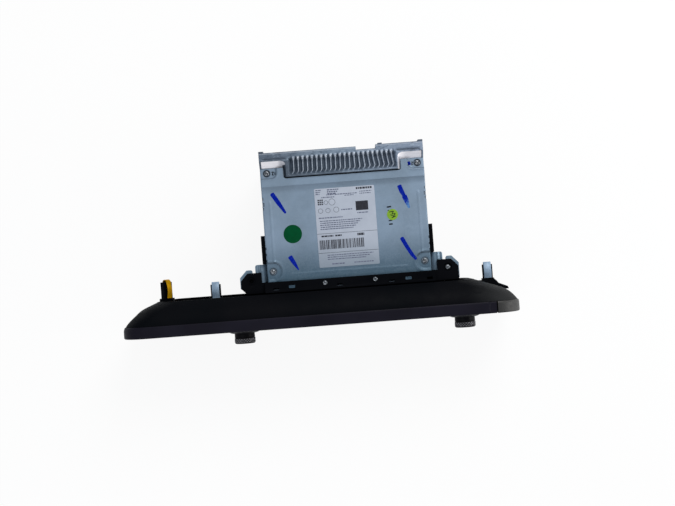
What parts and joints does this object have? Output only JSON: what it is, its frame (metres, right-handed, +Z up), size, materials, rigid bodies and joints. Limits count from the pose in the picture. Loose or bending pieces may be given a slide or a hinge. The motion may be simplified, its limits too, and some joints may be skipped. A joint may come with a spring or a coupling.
{
  "type": "car radio",
  "caption": "Car radio head unit: steel chassis with a finned heat sink, carried by a wide black display fascia with push-and-turn knobs and keys.",
  "frame": {"origin": "middle of the chassis underside, halfway along the visible chassis", "axes": "+X to the right seen from the front, +Y towards the rear of the chassis, +Z up"},
  "size_m": [0.4329, 0.2102, 0.132],
  "materials": {
    "zinc_steel": "zinc-plated sheet, satin, blue-grey",
    "cast_alloy": "die-cast, slightly rough",
    "frame_plastic": "black, moulded, fine grain",
    "shroud_plastic": "black, soft grain",
    "satin_trim": "near-black with a violet cast, satin",
    "end_trim": "dark grey, satin",
    "panel_plastic": "black, satin",
    "lens_glass": "dark cover glass",
    "display_black": "black display cell",
    "board_green": "solder mask",
    "ribbon_film": "film cable",
    "tin_can": "tinned steel",
    "socket_pale": "pale socket housing",
    "label_paper": "printed label with plain dashes and bars",
    "green_paper": "round sticker",
    "lime_paper": "round sticker",
    "yellow_paint": "yellow coated spring steel",
    "clip_steel": "plated spring steel",
    "screw_steel": "plated",
    "knob_plastic": "black, satin gloss",
    "grip_metal": "dark plated knurl",
    "key_plastic": "black, satin, no legend",
    "keypad_rubber": "silicone mat"
  },
  "bodies": {
    "root": {"top_cover": "zinc_steel", "chassis_tray": "zinc_steel", "heat_sink": "cast_alloy", "rear_frame": "frame_plastic", "back_panel": "frame_plastic", "fascia_shroud": "shroud_plastic", "front_trim_ring": "satin_trim", "right_end_trim": "end_trim", "front_face_panel": "panel_plastic", "left_trim_insert": "satin_trim", "display_lens": "lens_glass", "display_panel": "display_black", "display_back_plate": "zinc_steel", "front_board": "board_green", "display_ribbon": "ribbon_film", "main_board": "board_green", "tuner_can": "tin_can", "amplifier_chip": "panel_plastic", "main_connector": "frame_plastic", "aux_connector": "socket_pale", "usb_socket": "tin_can", "antenna_socket": "frame_plastic", "rating_label": "label_paper", "green_sticker": "green_paper", "lime_sticker": "lime_paper", "yellow_clip": "yellow_paint", "left_clip": "clip_steel", "right_clip": "clip_steel", "ear_screw_right": "screw_steel", "left_bracket": "zinc_steel", "cover_screw_rear_left": "screw_steel", "cover_screw_front_left": "screw_steel", "frame_screw_left": "screw_steel", "bracket_screw_left": "screw_steel", "left_encoder_body": "tin_can", "left_keypad": "keypad_rubber", "right_bracket": "zinc_steel", "cover_screw_rear_right": "screw_steel", "cover_screw_front_right": "screw_steel", "frame_screw_right": "screw_steel", "bracket_screw_right": "screw_steel", "right_encoder_body": "tin_can", "right_keypad": "keypad_rubber"},
    "left_plunger": {"left_encoder_plunger": "frame_plastic"},
    "left_knob": {"left_knob": "knob_plastic", "left_knob_grip": "grip_metal", "left_encoder_shaft": "tin_can"},
    "right_plunger": {"right_encoder_plunger": "frame_plastic"},
    "right_knob": {"right_knob": "knob_plastic", "right_knob_grip": "grip_metal", "right_encoder_shaft": "tin_can"},
    "left_key_1": {"left_key_1": "key_plastic"},
    "left_key_2": {"left_key_2": "key_plastic"},
    "left_key_3": {"left_key_3": "key_plastic"},
    "left_key_4": {"left_key_4": "key_plastic"},
    "right_key_1": {"right_key_1": "key_plastic"},
    "right_key_2": {"right_key_2": "key_plastic"},
    "right_key_3": {"right_key_3": "key_plastic"},
    "right_key_4": {"right_key_4": "key_plastic"}
  },
  "joints": [
    {"name": "left_knob_push", "type": "slide", "parent": "root", "child": "left_plunger", "axis": [0, 1, 0], "range_m": [0, 0.001], "stiffness_N_per_m": 2500},
    {"name": "left_knob_turn", "type": "hinge", "parent": "left_plunger", "child": "left_knob", "pos_m": [-0.124, -0.13, 0.024], "axis": [0, 1, 0], "continuous": true},
    {"name": "right_knob_push", "type": "slide", "parent": "root", "child": "right_plunger", "axis": [0, 1, 0], "range_m": [0, 0.001], "stiffness_N_per_m": 2500},
    {"name": "right_knob_turn", "type": "hinge", "parent": "right_plunger", "child": "right_knob", "pos_m": [0.128, -0.13, 0.024], "axis": [0, 1, 0], "continuous": true},
    {"name": "left_key_1_press", "type": "slide", "parent": "root", "child": "left_key_1", "axis": [0, 1, 0], "range_m": [0, 0.0008], "stiffness_N_per_m": 2500},
    {"name": "left_key_2_press", "type": "slide", "parent": "root", "child": "left_key_2", "axis": [0, 1, 0], "range_m": [0, 0.0008], "stiffness_N_per_m": 2500},
    {"name": "left_key_3_press", "type": "slide", "parent": "root", "child": "left_key_3", "axis": [0, 1, 0], "range_m": [0, 0.0008], "stiffness_N_per_m": 2500},
    {"name": "left_key_4_press", "type": "slide", "parent": "root", "child": "left_key_4", "axis": [0, 1, 0], "range_m": [0, 0.0008], "stiffness_N_per_m": 2500},
    {"name": "right_key_1_press", "type": "slide", "parent": "root", "child": "right_key_1", "axis": [0, 1, 0], "range_m": [0, 0.0008], "stiffness_N_per_m": 2500},
    {"name": "right_key_2_press", "type": "slide", "parent": "root", "child": "right_key_2", "axis": [0, 1, 0], "range_m": [0, 0.0008], "stiffness_N_per_m": 2500},
    {"name": "right_key_3_press", "type": "slide", "parent": "root", "child": "right_key_3", "axis": [0, 1, 0], "range_m": [0, 0.0008], "stiffness_N_per_m": 2500},
    {"name": "right_key_4_press", "type": "slide", "parent": "root", "child": "right_key_4", "axis": [0, 1, 0], "range_m": [0, 0.0008], "stiffness_N_per_m": 2500}
  ]
}
